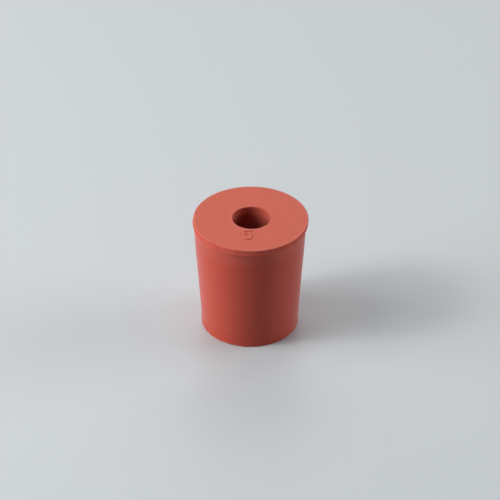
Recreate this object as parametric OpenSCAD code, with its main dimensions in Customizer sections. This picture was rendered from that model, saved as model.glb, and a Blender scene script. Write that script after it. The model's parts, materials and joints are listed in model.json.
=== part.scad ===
// One-hole rubber stopper: a solid moulded plug, turned about the Z axis.
// It stands on its narrow end. The origin is the centre of the narrow face,
// +Z runs up the hole to the wide face. All sizes are in millimetres.

/* [Body] */
// Outside diameter of the wide end, over its rim
wide_d = 24; // [21:0.5:40]
// Outside diameter of the narrow end, over its foot ring
narrow_d = 20.5; // [14:0.5:24]
// Height from the narrow face to the wide face
height = 25.6; // [12:0.1:50]

/* [Hole] */
// Diameter of the hole through the middle
bore_d = 8; // [3:0.5:11]
// Radius that rounds the edge of the hole at the wide face
wide_mouth_r = 0.15; // [0.1:0.05:0.8]
// Radius that rounds the edge of the hole at the narrow face
narrow_mouth_r = 0.25; // [0.1:0.05:0.8]

/* [Rim] */
// How far the trimmed rim stands out past the taper
rim_step = 0.27; // [0.05:0.01:0.8]
// Height of the rim's straight band
rim_band_h = 0.95; // [0.3:0.05:2]
// Height of the slope from the rim's band back to the taper
rim_slope_h = 0.15; // [0.1:0.05:2]
// Radius that rounds the rim's upper edge
rim_edge_r = 0.1; // [0.05:0.05:0.3]

/* [Foot] */
// How far the moulding ring round the foot stands out past the taper
foot_step = 0.16; // [0.05:0.01:0.8]
// Height of the foot ring's straight band
foot_band_h = 0.4; // [0.3:0.1:2]
// Height of the slope from the foot ring up to the taper
foot_slope_h = 0.9; // [0.1:0.1:3]
// Radius that rounds the foot's lower edge
foot_edge_r = 0.25; // [0.05:0.05:0.3]

/* [Hidden] */
// Radii of the rim, the foot ring and the hole
wide_r = wide_d / 2;
narrow_r = narrow_d / 2;
bore_r = bore_d / 2;
// The taper is one straight line, as if it ran on to both faces
taper_top_r = wide_r - rim_step;
taper_foot_r = narrow_r - foot_step;
// Heights at which the taper meets the foot ring's slope and the rim's slope
taper_start_z = foot_band_h + foot_slope_h;
taper_end_z = height - rim_band_h - rim_slope_h;
// How far a corner cutter reaches past the faces that it rounds
cut_over = 0.5;
$fn = 128;

// Radius of the taper at height z
function taper_r(z) = taper_foot_r + (taper_top_r - taper_foot_r) * z / height;

// What a square corner at the origin loses when it is rounded to radius r.
// The corner's wall is to the lower left of it.
module corner_cut(r) {
    difference() {
        translate([-r, -r]) square(r + cut_over);
        translate([-r, -r]) circle(r);
    }
}

// Half of the stopper's section with sharp edges: x is the radius, y the height
module sharp_section() {
    polygon([
        [bore_r, 0],
        [narrow_r, 0],
        [narrow_r, foot_band_h],
        [taper_r(taper_start_z), taper_start_z],
        [taper_r(taper_end_z), taper_end_z],
        [wide_r, height - rim_band_h],
        [wide_r, height],
        [bore_r, height],
    ]);
}

// The same section with its rim, its foot and both edges of the hole rounded
module half_section() {
    difference() {
        sharp_section();
        translate([wide_r, height]) corner_cut(rim_edge_r);
        translate([narrow_r, 0]) mirror([0, 1]) corner_cut(foot_edge_r);
        translate([bore_r, height]) mirror([1, 0]) corner_cut(wide_mouth_r);
        translate([bore_r, 0]) rotate(180) corner_cut(narrow_mouth_r);
    }
}

// The moulded rubber body with its hole
module stopper() {
    color("indianred") rotate_extrude() half_section();
}

stopper();
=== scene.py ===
"""One-hole rubber stopper on its narrow end, as a Blender add-on that is also run as a script."""

import json
import math

import bmesh
import bpy
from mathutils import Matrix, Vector, noise


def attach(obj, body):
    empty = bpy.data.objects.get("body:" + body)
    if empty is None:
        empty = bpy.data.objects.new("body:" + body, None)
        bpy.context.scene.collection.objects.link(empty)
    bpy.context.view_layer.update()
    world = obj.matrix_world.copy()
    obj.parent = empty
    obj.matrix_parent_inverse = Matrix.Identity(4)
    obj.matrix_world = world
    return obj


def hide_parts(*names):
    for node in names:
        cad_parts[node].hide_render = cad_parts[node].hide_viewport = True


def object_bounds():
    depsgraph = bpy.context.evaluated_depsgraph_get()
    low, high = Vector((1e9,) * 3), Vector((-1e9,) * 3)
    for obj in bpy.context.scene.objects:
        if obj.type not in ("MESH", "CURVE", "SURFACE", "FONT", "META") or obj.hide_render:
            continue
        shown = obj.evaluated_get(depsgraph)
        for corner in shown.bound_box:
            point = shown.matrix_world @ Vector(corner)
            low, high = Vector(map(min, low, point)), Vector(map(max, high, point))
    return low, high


bl_info = {
    "name": "Rubber Stopper",
    "version": (1, 0, 0),
    "blender": (4, 5, 0),
    "location": "3D View > Sidebar > Stopper",
    "description": "Models a tapered rubber stopper with one hole, in a small pale studio",
    "category": "Object",
}

MM = 0.001
NODE = "stopper"
# Steps round the axis
SEGMENTS = 360
# Order of the material slots
FINISHES = ("cavity", "plate", "trimmed", "pin")

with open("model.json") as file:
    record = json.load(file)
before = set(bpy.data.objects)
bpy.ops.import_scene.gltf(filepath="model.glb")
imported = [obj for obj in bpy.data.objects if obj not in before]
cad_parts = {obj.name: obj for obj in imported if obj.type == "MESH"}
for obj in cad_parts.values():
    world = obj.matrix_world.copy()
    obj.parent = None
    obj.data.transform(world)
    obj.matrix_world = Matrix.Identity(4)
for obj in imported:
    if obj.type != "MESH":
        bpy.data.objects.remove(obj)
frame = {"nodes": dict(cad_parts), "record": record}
cad_low, cad_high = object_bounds()


# ---------------------------------------------------------------- sizes read from the frame


def largest_radius(lowest, highest):
    """How far the CAD solid reaches from the Z axis between two heights, to 0.01 mm."""
    points = [v.co for v in frame["nodes"][NODE].data.vertices]
    radius = max(p.xy.length for p in points if lowest <= p.z <= highest)
    return round(radius, 5)


def bore_radius():
    """Radius of the hole, from the record's mount."""
    mounts = {m["name"]: m for m in frame["record"]["mounts"]}
    return mounts["bore"]["dims"]["r_mm"] * MM


HEIGHT = round(cad_high.z - cad_low.z, 5)
WIDE_RADIUS = largest_radius(cad_low.z, cad_high.z)
NARROW_RADIUS = largest_radius(cad_low.z, cad_low.z + 0.5 * MM)
BORE_RADIUS = bore_radius()


def length(name, description, default, low=0.0, high=0.1):
    """A length in metres that the user can set."""
    return bpy.props.FloatProperty(
        name=name,
        description=description,
        default=default,
        min=low,
        max=high,
        precision=5,
        subtype="DISTANCE",
        unit="LENGTH",
    )


def linear(hex_code):
    """Linear RGBA of an sRGB hex colour such as "c8655a"."""
    values = [int(hex_code[i : i + 2], 16) / 255 for i in (0, 2, 4)]
    return [v / 12.92 if v <= 0.04045 else ((v + 0.055) / 1.055) ** 2.4 for v in values] + [1.0]


def colour(name, description, hex_code):
    """A colour that the user can set; its default is an sRGB hex value."""
    return bpy.props.FloatVectorProperty(
        name=name,
        description=description,
        default=linear(hex_code),
        size=4,
        min=0.0,
        max=1.0,
        subtype="COLOR",
    )


class StopperSizes(bpy.types.PropertyGroup):
    """Sizes of the moulded body."""

    height: length("Height", "From the narrow face to the wide face", HEIGHT)
    wide_radius: length("Wide radius", "Of the rim round the wide face", WIDE_RADIUS)
    narrow_radius: length("Narrow radius", "Of the ring round the foot", NARROW_RADIUS)
    bore_radius: length("Hole radius", "Of the straight hole", BORE_RADIUS)
    wide_mouth: length("Wide mouth", "Rounding of the hole's upper edge", 0.15 * MM)
    narrow_mouth: length("Narrow mouth", "Rounding of the hole's lower edge", 0.25 * MM)
    rim_step: length("Rim step", "How far the rim stands out past the taper", 0.27 * MM)
    rim_band: length("Rim band", "Height of the rim's trimmed band", 0.95 * MM)
    rim_slope: length("Rim slope", "Height of the slope from the rim to the taper", 0.15 * MM)
    rim_edge: length("Rim edge", "Rounding of the rim's upper edge", 0.1 * MM)
    foot_step: length("Foot step", "How far the foot ring stands out past the taper", 0.16 * MM)
    foot_band: length("Foot band", "Height of the foot ring's straight band", 0.4 * MM)
    foot_slope: length("Foot slope", "Height of the slope from the ring to the taper", 0.9 * MM)
    foot_edge: length("Foot edge", "Rounding of the foot's lower edge", 0.25 * MM)


class StopperFaults(bpy.types.PropertyGroup):
    """Small faults of the moulding and the trimming."""

    body_shift: length("Body shift", "Of the taper off the axis", -0.085 * MM, -0.001, 0.001)
    rim_shift: length("Rim shift", "Of the trimmed rim off the axis", 0.105 * MM, -0.001, 0.001)
    hole_shift_x: length("Hole shift X", "Of the hole's wide mouth", 0.26 * MM, -0.001, 0.001)
    hole_shift_y: length("Hole shift Y", "Of the hole's wide mouth", 0.28 * MM, -0.001, 0.001)
    trim: length("Trim", "How much more the knife took off the rim than it should", 0.045 * MM)
    flat: length("Flat", "How much more the knife took off in one place on the left", 0.08 * MM)
    rim_deep: length("Deep cut", "How much deeper the rim's band is at front and back", 0.2 * MM)
    flare_front: length(
        "Front flare", "How far the rim's band widens downwards at the front", 0.14 * MM
    )
    flare_left: length(
        "Left flare", "How far the band widens on the left and narrows on the right", 0.12 * MM
    )
    hollow: length("Hollow", "Depth of the knife's hollow under the rim's edge", 0.035 * MM)
    groove: length("Groove", "Depth of the knife's second stroke at the front left", 0.065 * MM)
    flash: length("Flash", "Stub of trimmed flash under the rim's band", 0.06 * MM)
    belly: length("Belly", "How far the side stands out in its upper third", 0.045 * MM)
    foot_proud: length(
        "Proud foot", "How far the side stands out over the foot ring on the left", 0.06 * MM
    )
    foot_lean: length("Foot lean", "How much higher the foot ring is on the left", 0.2 * MM)
    nick: length("Nick", "Depth of the nicks in the foot ring", 0.12 * MM)
    uneven: length("Unevenness", "Of the tapered side", 0.012 * MM)


class StopperNumber(bpy.types.PropertyGroup):
    """The raised size number on the wide face."""

    height: length("Height", "Of the number", 3.0 * MM)
    relief: length("Relief", "How far the number stands up", 0.15 * MM)
    half_stroke: length("Half stroke", "Half the width of a stroke's flat top", 0.13 * MM)
    wall: length("Wall", "Width of a stroke's sloped wall, in plan", 0.09 * MM)
    left_wall: length("Left wall", "Width of the worn walls that face left", 0.19 * MM)
    # Steep walls of the number take the side's deeper red as painted shade, which darkens the
    # walls
    polished: bpy.props.FloatProperty(
        name="Polished",
        description="Slope from which a wall is smooth and deep red, as the mould was cut there",
        default=math.radians(40),
        subtype="ANGLE",
    )
    middle_x: length("Middle X", "Of the number", -0.56 * MM, -0.01, 0.01)
    middle_y: length("Middle Y", "Of the number", -6.15 * MM, -0.01, 0.01)


class StopperFinish(bpy.types.PropertyGroup):
    """Colours of the rubber."""

    cavity: colour("Side", "Moulded against the polished cavity", "ae3f2e")
    plate: colour("Faces", "Moulded against the blasted plates", "c15b49")
    trimmed: colour("Trimmed edges", "Where the flash was cut off", "b3493b")
    pin: colour("Hole", "Moulded round the turned pin", "c75c4b")
    # Besides the dust, this colour also tints the side paler towards the rim, as painted light
    bloom: colour("Bloom", "Pale dust that rubber sweats out with age", "dba79b")


class StopperStage(bpy.types.PropertyGroup):
    """Floor, light and camera round the stopper."""

    floor: colour("Floor", "Pale cool grey sheet", "bbc0c3")
    lens: bpy.props.FloatProperty(
        name="Lens", description="Focal length on a 36 mm sensor", default=200.0, unit="CAMERA"
    )
    distance: length("Distance", "From the camera to the point it aims at", 0.579, 0.1, 3.0)
    aim_x: length("Aim X", "Of the point that the camera aims at", -0.07 * MM, -0.1, 0.1)
    aim_height: length("Aim height", "Of the point that the camera aims at", 17.63 * MM)
    elevation: bpy.props.FloatProperty(
        name="Elevation", description="Of the camera", default=math.radians(34.94), subtype="ANGLE"
    )


# ---------------------------------------------------------------- the section, revolved


def arc(centre, radius, start, end, steps):
    """Points on an arc of the section: centre is (r, z), the angles are in degrees."""
    angles = [math.radians(start + (end - start) * i / steps) for i in range(steps + 1)]
    return [(centre[0] + radius * math.cos(a), centre[1] + radius * math.sin(a)) for a in angles]


def straight(start, end, steps):
    """Points between two corners of the section, without the corners themselves."""
    shares = [i / steps for i in range(1, steps)]
    return [tuple(a + (b - a) * s for a, b in zip(start, end)) for s in shares]


def taper_radius(sizes, z):
    """Radius of the tapered side at height z."""
    foot = sizes.narrow_radius - sizes.foot_step
    top = sizes.wide_radius - sizes.rim_step
    return foot + (top - foot) * z / sizes.height


def section(sizes):
    """Outline of half the stopper, as (r, z, finish) points from the hole's foot outwards."""
    bore, height = sizes.bore_radius, sizes.height
    mouth, edge = sizes.narrow_mouth, sizes.foot_edge
    narrow_mouth = arc((bore + mouth, mouth), mouth, 180, 270, 5)
    foot_arc = arc((sizes.narrow_radius - edge, edge), edge, -90, 0, 5)
    mouth, edge = sizes.wide_mouth, sizes.rim_edge
    rim_arc = arc((sizes.wide_radius - edge, height - edge), edge, 0, 90, 5)
    wide_mouth = arc((bore + mouth, height - mouth), mouth, 90, 180, 6)
    foot_top = (sizes.narrow_radius, sizes.foot_band)
    taper_start = sizes.foot_band + sizes.foot_slope
    taper_end = height - sizes.rim_band - sizes.rim_slope
    low = (taper_radius(sizes, taper_start), taper_start)
    high = (taper_radius(sizes, taper_end), taper_end)
    rim_low = (sizes.wide_radius, height - sizes.rim_band)
    stretches = [
        ("plate", narrow_mouth + straight(narrow_mouth[-1], foot_arc[0], 10)),
        ("trimmed", foot_arc + straight(foot_arc[-1], foot_top, 4)),
        ("cavity", [foot_top] + straight(foot_top, low, 10)),
        ("cavity", [low] + straight(low, high, 40)),
        ("cavity", [high] + straight(high, rim_low, 5)),
        ("trimmed", [rim_low] + straight(rim_low, rim_arc[0], 24) + rim_arc[:-1]),
        ("plate", [rim_arc[-1]] + straight(rim_arc[-1], wide_mouth[0], 50) + wide_mouth[:2]),
        ("pin", wide_mouth[2:] + straight(wide_mouth[-1], narrow_mouth[0], 24)),
    ]
    return [(r, z, finish) for finish, points in stretches for r, z in points]


# ---------------------------------------------------------------- faults of the moulding


def share_between(value, start, end):
    """0 before start, 1 after end and a smooth rise between them."""
    share = max(0.0, min(1.0, (value - start) / (end - start)))
    return share * share * (3 - 2 * share)


def hump(value, middle, half_width):
    """1 at the middle, falling smoothly to nothing a few half widths away."""
    return math.exp(-(((value - middle) / half_width) ** 2))


def wander(angle, waves, seed):
    """
    A smooth random walk round the stopper, between about -1 and 1, that closes on itself. More
    waves make it busier, and each seed gives another walk.
    """
    return noise.noise(Vector((math.cos(angle) * waves, math.sin(angle) * waves, seed)))


def drift(sizes, faults, r, z, finish):
    """How far a ring of the section is off the axis: the mould's parts never line up quite."""
    hole = Vector((faults.hole_shift_x, faults.hole_shift_y)) * (z / sizes.height)
    if finish == "pin":
        return hole
    rim_low = sizes.height - sizes.rim_band
    share = share_between(z, rim_low - sizes.rim_slope, rim_low)
    outer = Vector((faults.body_shift + (faults.rim_shift - faults.body_shift) * share, 0))
    if z > sizes.height / 2:
        edge = sizes.wide_radius - sizes.rim_edge
    else:
        edge = sizes.narrow_radius - sizes.foot_edge
    out = min(1.0, (r - sizes.bore_radius) / (edge - sizes.bore_radius))
    return hole.lerp(outer, out) if finish == "plate" else outer


# Direction from +X in which the knife cut a small flat into the rim
FLAT_AT = math.radians(188)


def rim_change(sizes, faults, z, angle):
    """Change of radius on the rim's band: hollow at its edge, flared below, with a flash stub."""
    below = sizes.height - z
    share = min(1.0, below / sizes.rim_band)
    # Strongest just left of the front, and gone a quarter turn away
    front = max(0.0, math.cos(angle + math.radians(100))) ** 2
    widening = (faults.flare_front * front - faults.flare_left * math.cos(angle)) * share
    depth = faults.hollow * (1 + 0.5 * wander(angle, 5.0, 3.5))
    hollow = depth * hump(below, 0.3 * MM + 0.05 * MM * wander(angle, 3.0, 1.5), 0.17 * MM)
    # The second stroke is strongest at the front left
    second = max(0.0, math.cos(angle + math.radians(125))) ** 2
    groove = faults.groove * second * hump(below, 0.6 * MM, 0.09 * MM)
    raggedness = 0.75 + 0.8 * wander(angle, 9.0, 7.5)
    stub = faults.flash * raggedness * hump(below, sizes.rim_band - 0.07 * MM, 0.07 * MM)
    flat = faults.flat * hump(math.remainder(angle - FLAT_AT, 2 * math.pi), 0, math.radians(13))
    return widening - hollow - groove + stub - flat - faults.trim


# Where the foot ring is nicked: direction from +X in degrees, and length along the ring
NICKS = ((-160, 0.9 * MM), (-149, 0.5 * MM), (-33, 0.8 * MM), (52, 1.1 * MM), (118, 0.6 * MM))


def nicked(sizes, z, angle):
    """How deep a nick in the foot ring is at a point, from 0 to 1."""
    depth = 0.0
    for direction, reach in NICKS:
        off = math.remainder(angle - math.radians(direction), 2 * math.pi) * sizes.narrow_radius
        depth = max(depth, hump(off, 0, reach / 2))
    return depth * hump(z, sizes.foot_band, 0.35 * MM)


def foot_change(sizes, faults, z, angle):
    """Change of radius at the foot: its ring is prouder on the left, ragged and nicked."""
    left = 0.5 - 0.5 * math.cos(angle)
    fade = 1 - share_between(z, sizes.foot_band, sizes.foot_band + sizes.foot_slope)
    thinner = 0.1 * MM * (1 - left) * share_between(z, 0, sizes.foot_band)
    ragged = 0.02 * MM * wander(angle, 6.0, 12.5)
    proud = faults.foot_proud * left * hump(z, 1.1 * MM, 0.7 * MM)
    return (ragged - thinner) * fade + proud - faults.nick * nicked(sizes, z, angle)


def ring_lift(sizes, faults, z, angle):
    """Change of height where the rim's lower edge and the foot ring's upper edge wander."""
    below = sizes.height - z
    near_rim = share_between(below, 0.3 * MM, sizes.rim_band) * (z > sizes.height / 2)
    near_rim *= 1 - share_between(below, sizes.rim_band + sizes.rim_slope, 3 * MM)
    near_foot = hump(z, sizes.foot_band, 0.25 * MM) * share_between(z, 0, sizes.foot_band)
    lean = -math.cos(angle) * faults.foot_lean
    rim_lift = 0.06 * MM * wander(angle, 2.5, 4.5) - faults.rim_deep * math.sin(angle) ** 2
    return rim_lift * near_rim + lean * near_foot


def moulded_point(sizes, faults, point, angle):
    """Where one point of the section lies after moulding and trimming."""
    r, z, finish = point
    middle = drift(sizes, faults, r, z, finish)
    # The hole's wall and the two faces keep their shape
    outside = r > sizes.narrow_radius * 0.9 and 0 < z < sizes.height
    if outside and z > sizes.height - sizes.rim_band - sizes.rim_slope * 0.5:
        r += rim_change(sizes, faults, z, angle)
    if outside and z < sizes.height / 2:
        r += foot_change(sizes, faults, z, angle)
    if outside:
        z += ring_lift(sizes, faults, z, angle)
    place = Vector((r * math.cos(angle), r * math.sin(angle), z))
    if finish == "cavity":
        belly = faults.belly * hump(z, 0.72 * sizes.height, 0.17 * sizes.height)
        place.xy *= 1 + (belly + faults.uneven * noise.noise(place / (6 * MM))) / r
    place.x += middle.x
    place.y += middle.y
    return place


def is_corner(before, here, after):
    """Whether the section turns sharply at a point, as it does where a knife has cut."""
    coming = Vector(here[:2]) - Vector(before[:2])
    going = Vector(after[:2]) - Vector(here[:2])
    return coming.angle(going) > math.radians(30)


def moulded_body(sizes, faults):
    """A closed bmesh ring of the section round the Z axis; each face knows its finish."""
    outline = section(sizes)
    mesh = bmesh.new()
    angles = [2 * math.pi * i / SEGMENTS for i in range(SEGMENTS)]
    rings = [[mesh.verts.new(moulded_point(sizes, faults, p, a)) for p in outline] for a in angles]
    for i, ring in enumerate(rings):
        after = rings[(i + 1) % SEGMENTS]
        for j, point in enumerate(outline):
            k = (j + 1) % len(outline)
            face = mesh.faces.new((ring[j], after[j], after[k], ring[k]))
            face.smooth = True
            face.material_index = FINISHES.index(point[2])
            if is_corner(outline[j - 1], point, outline[k]):
                mesh.edges.get((ring[j], after[j])).smooth = False
    bmesh.ops.recalc_face_normals(mesh, faces=mesh.faces)
    return mesh


# ---------------------------------------------------------------- the raised size number


# Corners of the number's strokes, as shares of its height from its middle
BAR_OF_FIVE = ((-0.31, 0.5), (0.26, 0.54))
BOWL_OF_FIVE = (
    (-0.193, 0.12), (-0.126, 0.155), (-0.05, 0.175), (0.042, 0.16), (0.126, 0.11),
    (0.193, 0.02), (0.231, -0.09), (0.235, -0.19), (0.223, -0.3), (0.185, -0.4),
    (0.113, -0.465), (0.025, -0.49), (-0.063, -0.48), (-0.155, -0.435), (-0.235, -0.36),
)


def five_strokes(height):
    """Centre lines of a plain 5, upright round the origin, as short straight strokes."""
    bowl = [Vector(p) * height for p in BOWL_OF_FIVE]
    bar_left, bar_right = [Vector(p) * height for p in BAR_OF_FIVE]
    return [(bar_left, bar_right), (bar_left, bowl[0])] + list(zip(bowl, bowl[1:]))


def way_from_stroke(point, start, end):
    """The way from the nearest point of a straight stroke to a point, in the plane."""
    along = end - start
    share = max(0.0, min(1.0, (point - start).dot(along) / along.length_squared))
    return point - start - along * share


def raise_number(mesh, sizes, number):
    """Refines the wide face where the number is, and lifts it out with sloped walls."""
    centre = Vector((number.middle_x, number.middle_y))
    reach = Vector((0.33, 0.55)) * number.height + Vector((0.5, 0.5)) * MM

    def near(place):
        return abs(place.x - centre.x) < reach.x and abs(place.y - centre.y) < reach.y

    top = sizes.height - 0.01 * MM
    flat = [f for f in mesh.faces if f.normal.z > 0.999 and f.calc_center_median().z > top]
    window = [f for f in flat if near(f.calc_center_median())]
    edges = list({e for f in window for e in f.edges})
    bmesh.ops.subdivide_edges(mesh, edges=edges, cuts=2, use_grid_fill=True)
    strokes = five_strokes(number.height)
    for vert in mesh.verts:
        if vert.co.z < top or not near(vert.co):
            continue
        ways = [way_from_stroke(vert.co.xy - centre, a, b) for a, b in strokes]
        way = min(ways, key=lambda w: w.length)
        leftness = max(0.0, -way.x / max(way.length, 1e-9))
        wall = number.wall + (number.left_wall - number.wall) * leftness
        rise = 1 - share_between(way.length, number.half_stroke, number.half_stroke + wall)
        vert.co.z += number.relief * rise
    mesh.normal_update()
    # Painted shade: the steep walls take the side's deeper red, which darkens them
    for face in mesh.faces:
        raised = face.calc_center_median().z > sizes.height + 0.001 * MM
        if raised and face.normal.z < math.cos(number.polished):
            face.material_index = FINISHES.index("cavity")


# ---------------------------------------------------------------- materials


def scale_for(size_mm):
    """Texture scale in object coordinates, for features about this many millimetres across."""
    return 1 / (size_mm * MM)


# The mix node repeats its sockets' names for each kind of data, so its colour sockets go by place
MIX_SHARE, MIX_FIRST, MIX_SECOND, MIX_RESULT = 0, 6, 7, 2


def add_node(tree, kind, settings, links=()):
    """Adds one node, sets its values and links its inputs, each by name or by place."""
    node = tree.nodes.new(kind)
    for name, value in settings.items():
        if isinstance(name, int) or name in node.inputs:
            node.inputs[name].default_value = value
        else:
            setattr(node, name, value)
    for name, output in dict(links).items():
        tree.links.new(output, node.inputs[name])
    return node


def new_material(name):
    """An empty material and its node tree."""
    material = bpy.data.materials.new(name)
    material.use_nodes = True
    material.node_tree.nodes.clear()
    return material, material.node_tree


def red_rubber(name, base, bloom, bloom_share, roughness, specular, sheen, grain_mm, grain_depth):
    """
    Red natural rubber: its clouded filler, a trace of pale bloom in patches, and its fine grain.
    The real grain is too fine to show, so it is drawn coarser.
    """
    material, tree = new_material(name)
    where = add_node(tree, "ShaderNodeTexCoord", {}).outputs["Object"]
    cloud = add_node(
        tree, "ShaderNodeTexNoise", {"Scale": scale_for(3.5), "Detail": 3.0}, {"Vector": where}
    )
    darker = [c * 0.94 for c in base[:3]] + [1.0]
    tone = add_node(
        tree,
        "ShaderNodeMix",
        {"data_type": "RGBA", MIX_FIRST: darker, MIX_SECOND: base},
        {MIX_SHARE: cloud.outputs[0]},
    )
    patches = add_node(
        tree,
        "ShaderNodeTexNoise",
        {"Scale": scale_for(1.6), "Detail": 6.0, "Roughness": 0.65},
        {"Vector": where},
    )
    dust = add_node(
        tree,
        "ShaderNodeMapRange",
        {"From Min": 0.42, "From Max": 0.72, "To Min": 0.0, "To Max": bloom_share},
        {"Value": patches.outputs[0]},
    )
    dusted = add_node(
        tree,
        "ShaderNodeMix",
        {"data_type": "RGBA", MIX_SECOND: bloom},
        {MIX_SHARE: dust.outputs[0], MIX_FIRST: tone.outputs[MIX_RESULT]},
    )
    gloss = add_node(
        tree,
        "ShaderNodeMapRange",
        {"From Min": 0.3, "From Max": 0.7, "To Min": roughness - 0.04, "To Max": roughness + 0.04},
        {"Value": patches.outputs[0]},
    )
    grain = add_node(
        tree,
        "ShaderNodeTexNoise",
        {"Scale": scale_for(grain_mm), "Detail": 4.0},
        {"Vector": where},
    )
    bump = add_node(
        tree,
        "ShaderNodeBump",
        {"Strength": 1.0, "Distance": grain_depth * MM},
        {"Height": grain.outputs[0]},
    )
    shader = add_node(
        tree,
        "ShaderNodeBsdfPrincipled",
        {
            "IOR": 1.52,
            "Specular IOR Level": specular,
            "Sheen Weight": sheen,
            "Sheen Roughness": 0.4,
        },
        {
            "Base Color": dusted.outputs[MIX_RESULT],
            "Roughness": gloss.outputs[0],
            "Normal": bump.outputs[0],
        },
    )
    add_node(tree, "ShaderNodeOutputMaterial", {}, {"Surface": shader.outputs[0]})
    return material, tree, where, shader, bump


# Middle of a small dark rub mark on the side, near the foot, in millimetres
RUB_MARK = (2.1, -10.6, 8.6)


def cavity_moulded(finish):
    """
    Pressed against a polished steel cavity: deep red and satin, with faint drag marks up the
    taper and a rub mark. Towards the rim the side is tinted paler with the bloom colour, as
    painted light that lifts the shade under the rim's step.
    """
    material, tree, where, shader, bump = red_rubber(
        "red_rubber_cavity_moulded",
        finish.cavity,
        finish.bloom,
        bloom_share=0.02,
        roughness=0.5,
        specular=0.15,
        sheen=0.38,
        grain_mm=0.2,
        grain_depth=0.006,
    )
    # Real drag marks are finer than this, but wouldn't show
    stretched = add_node(
        tree, "ShaderNodeVectorMath", {"operation": "MULTIPLY", 1: (1.0, 1.0, 0.03)}, {0: where}
    )
    marks = add_node(
        tree,
        "ShaderNodeTexNoise",
        {"Scale": scale_for(0.5), "Detail": 2.0},
        {"Vector": stretched.outputs[0]},
    )
    dragged = add_node(
        tree,
        "ShaderNodeBump",
        {"Strength": 1.0, "Distance": 0.016 * MM},
        {"Height": marks.outputs[0]},
    )
    tree.links.new(dragged.outputs[0], bump.inputs["Normal"])
    away = add_node(
        tree,
        "ShaderNodeVectorMath",
        {"operation": "DISTANCE", 1: [c * MM for c in RUB_MARK]},
        {0: where},
    )
    rub = add_node(
        tree,
        "ShaderNodeMapRange",
        {"From Min": 0.65 * MM, "From Max": 0.25 * MM, "To Max": 0.35},
        {"Value": away.outputs["Value"]},
    )
    darker = [c * 0.75 for c in finish.cavity[:3]] + [1.0]
    marked = add_node(
        tree,
        "ShaderNodeMix",
        {"data_type": "RGBA", MIX_SECOND: darker},
        {
            MIX_SHARE: rub.outputs[0],
            MIX_FIRST: shader.inputs["Base Color"].links[0].from_socket,
        },
    )
    # Painted light: towards the rim the side is tinted paler with the bloom colour, which lifts
    # the shade under the rim's step
    place = add_node(tree, "ShaderNodeSeparateXYZ", {}, {0: where})
    painted_light_under_rim = add_node(
        tree,
        "ShaderNodeMapRange",
        {"From Min": HEIGHT - 5.1 * MM, "From Max": HEIGHT - 1.3 * MM, "To Max": 0.055},
        {"Value": place.outputs["Z"]},
    )
    lightened_under_rim = add_node(
        tree,
        "ShaderNodeMix",
        {"data_type": "RGBA", MIX_SECOND: finish.bloom},
        {MIX_SHARE: painted_light_under_rim.outputs[0], MIX_FIRST: marked.outputs[MIX_RESULT]},
    )
    tree.links.new(lightened_under_rim.outputs[MIX_RESULT], shader.inputs["Base Color"])
    return material


def plate_moulded(finish):
    """
    Pressed against a blasted steel plate: paler, matt and finely grained, and rubbed chalky along
    its edges.
    """
    material, tree, where, shader, _ = red_rubber(
        "red_rubber_plate_moulded",
        finish.plate,
        finish.bloom,
        bloom_share=0.057,
        roughness=0.72,
        specular=0.25,
        sheen=0.1,
        grain_mm=0.16,
        grain_depth=0.012,
    )
    flat = add_node(
        tree, "ShaderNodeVectorMath", {"operation": "MULTIPLY", 1: (1.0, 1.0, 0.0)}, {0: where}
    )
    radius = add_node(
        tree, "ShaderNodeVectorMath", {"operation": "LENGTH"}, {0: flat.outputs[0]}
    )
    rim = add_node(
        tree,
        "ShaderNodeMapRange",
        {"From Min": WIDE_RADIUS - 0.7 * MM, "From Max": WIDE_RADIUS - 0.1 * MM, "To Max": 0.22},
        {"Value": radius.outputs["Value"]},
    )
    mouth = add_node(
        tree,
        "ShaderNodeMapRange",
        {"From Min": BORE_RADIUS + 0.7 * MM, "From Max": BORE_RADIUS + 0.2 * MM, "To Max": 0.08},
        {"Value": radius.outputs["Value"]},
    )
    both = add_node(
        tree, "ShaderNodeMath", {"operation": "MAXIMUM"}, {0: rim.outputs[0], 1: mouth.outputs[0]}
    )
    scuffs = add_node(
        tree, "ShaderNodeTexNoise", {"Scale": scale_for(0.9), "Detail": 3.0}, {"Vector": where}
    )
    worn = add_node(
        tree,
        "ShaderNodeMath",
        {"operation": "MULTIPLY"},
        {0: both.outputs[0], 1: scuffs.outputs[0]},
    )
    rubbed = add_node(
        tree,
        "ShaderNodeMix",
        {"data_type": "RGBA", MIX_SECOND: finish.bloom},
        {
            MIX_SHARE: worn.outputs[0],
            MIX_FIRST: shader.inputs["Base Color"].links[0].from_socket,
        },
    )
    tree.links.new(rubbed.outputs[MIX_RESULT], shader.inputs["Base Color"])
    return material


def knife_trimmed(finish):
    """Cut with a knife and tumbled: a dull, slightly torn band with a coarser grain."""
    return red_rubber(
        "red_rubber_knife_trimmed",
        finish.trimmed,
        finish.bloom,
        bloom_share=0.09,
        roughness=0.65,
        specular=0.15,
        sheen=0.07,
        grain_mm=0.28,
        grain_depth=0.02,
    )[0]


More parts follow.
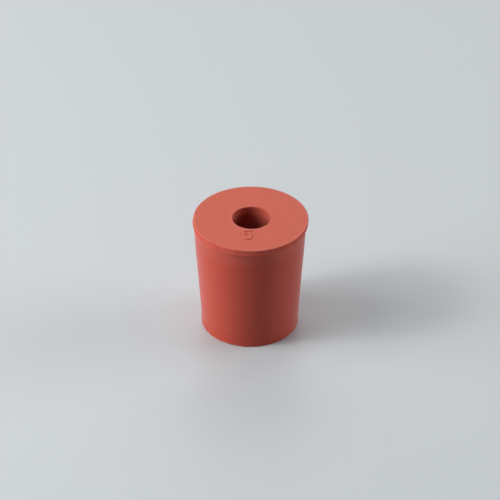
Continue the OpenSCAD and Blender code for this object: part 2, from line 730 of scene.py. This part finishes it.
def pin_moulded(finish):
    """
    Pressed round a turned steel pin: satin with fine uneven rings, which also band the colour
    lighter and darker as painted light and shade, and painted shade darkens the wall away from the
    hole's two ends.
    """
    material, tree, where, shader, bump = red_rubber(
        "red_rubber_pin_moulded",
        finish.pin,
        finish.bloom,
        bloom_share=0.02,
        roughness=0.5,
        specular=0.1,
        sheen=0.15,
        grain_mm=0.2,
        grain_depth=0.006,
    )
    # Painted shade: the wall's colour darkens away from the hole's two ends, deeper in the hole
    place = add_node(tree, "ShaderNodeSeparateXYZ", {}, {0: where})
    above = add_node(
        tree, "ShaderNodeMath", {"operation": "SUBTRACT", 1: HEIGHT / 2}, {0: place.outputs["Z"]}
    )
    off_middle = add_node(tree, "ShaderNodeMath", {"operation": "ABSOLUTE"}, {0: above.outputs[0]})
    painted_depth_shade = add_node(
        tree,
        "ShaderNodeMapRange",
        {"From Min": 8.5 * MM, "From Max": 12.4 * MM, "To Min": 0.6, "To Max": 0.87},
        {"Value": off_middle.outputs[0]},
    )
    # The real rings are finer than this, but wouldn't show. The shift along Z picks which of the
    # rings lie near the wide face
    flattened = add_node(
        tree,
        "ShaderNodeVectorMath",
        {"operation": "MULTIPLY_ADD", 1: (0.02, 0.02, 1.0), 2: (0.0, 0.0, 3.7 * MM)},
        {0: where},
    )
    rings = add_node(
        tree,
        "ShaderNodeTexNoise",
        {"Scale": scale_for(0.5), "Detail": 2.0},
        {"Vector": flattened.outputs[0]},
    )
    # Painted light and shade: the rings also band the colour lighter and darker, as the turned
    # ridges would look in light
    painted_ring_shading = add_node(
        tree,
        "ShaderNodeMapRange",
        {"From Min": 0.38, "From Max": 0.62, "To Min": 0.8, "To Max": 1.15},
        {"Value": rings.outputs[0]},
    )
    painted_hole_shade = add_node(
        tree,
        "ShaderNodeMath",
        {"operation": "MULTIPLY"},
        {0: painted_depth_shade.outputs[0], 1: painted_ring_shading.outputs[0]},
    )
    # Multiplies the painted shade and the painted ring bands into the colour
    deeper = add_node(
        tree,
        "ShaderNodeMix",
        {"data_type": "RGBA", "blend_type": "MULTIPLY", MIX_SHARE: 1.0},
        {
            MIX_FIRST: shader.inputs["Base Color"].links[0].from_socket,
            MIX_SECOND: painted_hole_shade.outputs[0],
        },
    )
    tree.links.new(deeper.outputs[MIX_RESULT], shader.inputs["Base Color"])
    turned = add_node(
        tree,
        "ShaderNodeBump",
        {"Strength": 1.0, "Distance": 0.09 * MM},
        {"Height": rings.outputs[0]},
    )
    tree.links.new(turned.outputs[0], bump.inputs["Normal"])
    return material


def floor_sheet(stage):
    """Matt-coated acrylic sheet: a pale cool grey that mirrors the stopper softly."""
    material, tree = new_material("pale_acrylic_sheet_satin")
    shader = add_node(
        tree,
        "ShaderNodeBsdfPrincipled",
        {"Base Color": stage.floor, "Roughness": 0.38, "IOR": 1.49},
    )
    add_node(tree, "ShaderNodeOutputMaterial", {}, {"Surface": shader.outputs[0]})
    return material


# ---------------------------------------------------------------- operators


class OBJECT_OT_stopper_add(bpy.types.Operator):
    """Add the moulded rubber stopper"""

    bl_idname = "object.stopper_add"
    bl_label = "Rubber Stopper"
    bl_options = {"REGISTER", "UNDO"}

    def execute(self, context):
        scene = context.scene
        sizes, finish = scene.stopper_sizes, scene.stopper_finish
        mesh = moulded_body(sizes, scene.stopper_faults)
        raise_number(mesh, sizes, scene.stopper_number)
        data = bpy.data.meshes.new("moulded_stopper")
        mesh.to_mesh(data)
        mesh.free()
        for make in (cavity_moulded, plate_moulded, knife_trimmed, pin_moulded):
            data.materials.append(make(finish))
        stopper = bpy.data.objects.new("moulded_stopper", data)
        context.collection.objects.link(stopper)
        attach(stopper, "root")
        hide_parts(NODE)
        return {"FINISHED"}


# Name, azimuth and elevation in degrees, distance, width and height in metres, power in watts,
# and whether gloss mirrors it. Azimuth 0 is the camera's side and 90 is +X. The two low lights
# aren't mirrored, because they would turn the floor white, seen from the sides
SOFTBOXES = (
    ("left_key", -78, 36, 0.65, 0.12, 0.12, 1.35, True),
    ("left_low_strip", -83, 12, 0.65, 0.46, 0.24, 3.35, False),
    ("left_high_strip", -83, 45, 0.65, 0.46, 0.36, 1.75, True),
    ("right_softbox", 99, 18, 0.65, 0.42, 0.38, 2.62, False),
    ("overhead_softbox", 180, 84, 0.65, 0.36, 0.36, 0.74, True),
    ("front_fill", 0, 62, 0.7, 0.5, 0.36, 0.12, True),
    ("back_wall", 180, 30, 1.4, 2.0, 1.2, 7.2, True),
)


def add_softbox(target, name, azimuth, elevation, distance, width, height, power, mirrored):
    """A white soft light aimed at the target."""
    data = bpy.data.lights.new(name, "AREA")
    data.shape = "RECTANGLE"
    data.size, data.size_y = width, height
    data.energy = power
    light = bpy.data.objects.new(name, data)
    a, e = math.radians(azimuth), math.radians(elevation)
    away = Vector((math.sin(a) * math.cos(e), -math.cos(a) * math.cos(e), math.sin(e)))
    light.location = target + away * distance
    light.rotation_euler = (-away).to_track_quat("-Z", "Y").to_euler()
    light.visible_camera = False
    light.visible_glossy = mirrored
    bpy.context.collection.objects.link(light)


class SCENE_OT_stopper_stage(bpy.types.Operator):
    """Add the floor, the soft lights and the camera"""

    bl_idname = "scene.stopper_stage"
    bl_label = "Stopper Stage"
    bl_options = {"REGISTER", "UNDO"}

    def execute(self, context):
        scene = context.scene
        stage = scene.stopper_stage
        self.add_floor(context, stage)
        self.add_lights()
        self.add_world(scene)
        self.add_camera(context, stage)
        scene.view_settings.view_transform = "Standard"
        return {"FINISHED"}

    def add_floor(self, context, stage):
        """A round sheet that the stopper stands on."""
        mesh = bmesh.new()
        bmesh.ops.create_circle(mesh, cap_ends=True, segments=96, radius=1.5)
        data = bpy.data.meshes.new("floor")
        mesh.to_mesh(data)
        mesh.free()
        data.materials.append(floor_sheet(stage))
        floor = bpy.data.objects.new("floor", data)
        context.collection.objects.link(floor)

    def add_lights(self):
        """The soft lights, all aimed at the stopper's middle."""
        middle = Vector((0, 0, 12 * MM))
        for softbox in SOFTBOXES:
            add_softbox(middle, *softbox)

    def add_world(self, scene):
        """Pale surroundings that are seen and mirrored, but give no light."""
        world = bpy.data.worlds.new("studio")
        scene.world = world
        world.use_nodes = True
        tree = world.node_tree
        tree.nodes.clear()
        path = add_node(tree, "ShaderNodeLightPath", {})
        direct = add_node(
            tree,
            "ShaderNodeMath",
            {"operation": "MAXIMUM"},
            {0: path.outputs["Is Camera Ray"], 1: path.outputs["Is Glossy Ray"]},
        )
        seen = add_node(
            tree,
            "ShaderNodeMath",
            {"operation": "MAXIMUM"},
            {0: direct.outputs[0], 1: path.outputs["Is Transmission Ray"]},
        )
        dark = add_node(tree, "ShaderNodeBackground", {"Strength": 0.0})
        pale = add_node(tree, "ShaderNodeBackground", {"Color": linear("c8ced1"), "Strength": 1.0})
        mix = add_node(
            tree,
            "ShaderNodeMixShader",
            {},
            {0: seen.outputs[0], 1: dark.outputs[0], 2: pale.outputs[0]},
        )
        add_node(tree, "ShaderNodeOutputWorld", {}, {"Surface": mix.outputs[0]})

    def add_camera(self, context, stage):
        """The camera, in front of the stopper and above it."""
        data = bpy.data.cameras.new("camera")
        data.lens = stage.lens
        data.clip_start, data.clip_end = 0.01, 10.0
        camera = bpy.data.objects.new("camera", data)
        e = stage.elevation
        away = Vector((0, -math.cos(e), math.sin(e)))
        camera.location = Vector((stage.aim_x, 0, stage.aim_height)) + away * stage.distance
        camera.rotation_euler = (-away).to_track_quat("-Z", "Y").to_euler()
        context.collection.objects.link(camera)
        context.scene.camera = camera


class VIEW3D_PT_stopper(bpy.types.Panel):
    """Sizes, finish and stage of the rubber stopper"""

    bl_label = "Rubber Stopper"
    bl_space_type = "VIEW_3D"
    bl_region_type = "UI"
    bl_category = "Stopper"

    def draw(self, context):
        layout = self.layout
        for settings in GROUPS:
            box = layout.box()
            box.label(text=settings.__doc__)
            for name in settings.__annotations__:
                box.prop(getattr(context.scene, GROUPS[settings]), name)
        layout.operator(OBJECT_OT_stopper_add.bl_idname)
        layout.operator(SCENE_OT_stopper_stage.bl_idname)


GROUPS = {
    StopperSizes: "stopper_sizes",
    StopperFaults: "stopper_faults",
    StopperNumber: "stopper_number",
    StopperFinish: "stopper_finish",
    StopperStage: "stopper_stage",
}
CLASSES = (*GROUPS, OBJECT_OT_stopper_add, SCENE_OT_stopper_stage, VIEW3D_PT_stopper)


def register():
    for cls in CLASSES:
        bpy.utils.register_class(cls)
    for settings, name in GROUPS.items():
        setattr(bpy.types.Scene, name, bpy.props.PointerProperty(type=settings))


def unregister():
    for name in GROUPS.values():
        delattr(bpy.types.Scene, name)
    for cls in reversed(CLASSES):
        bpy.utils.unregister_class(cls)


def main():
    register()
    bpy.ops.object.stopper_add()
    bpy.ops.scene.stopper_stage()


if __name__ == "__main__":
    main()
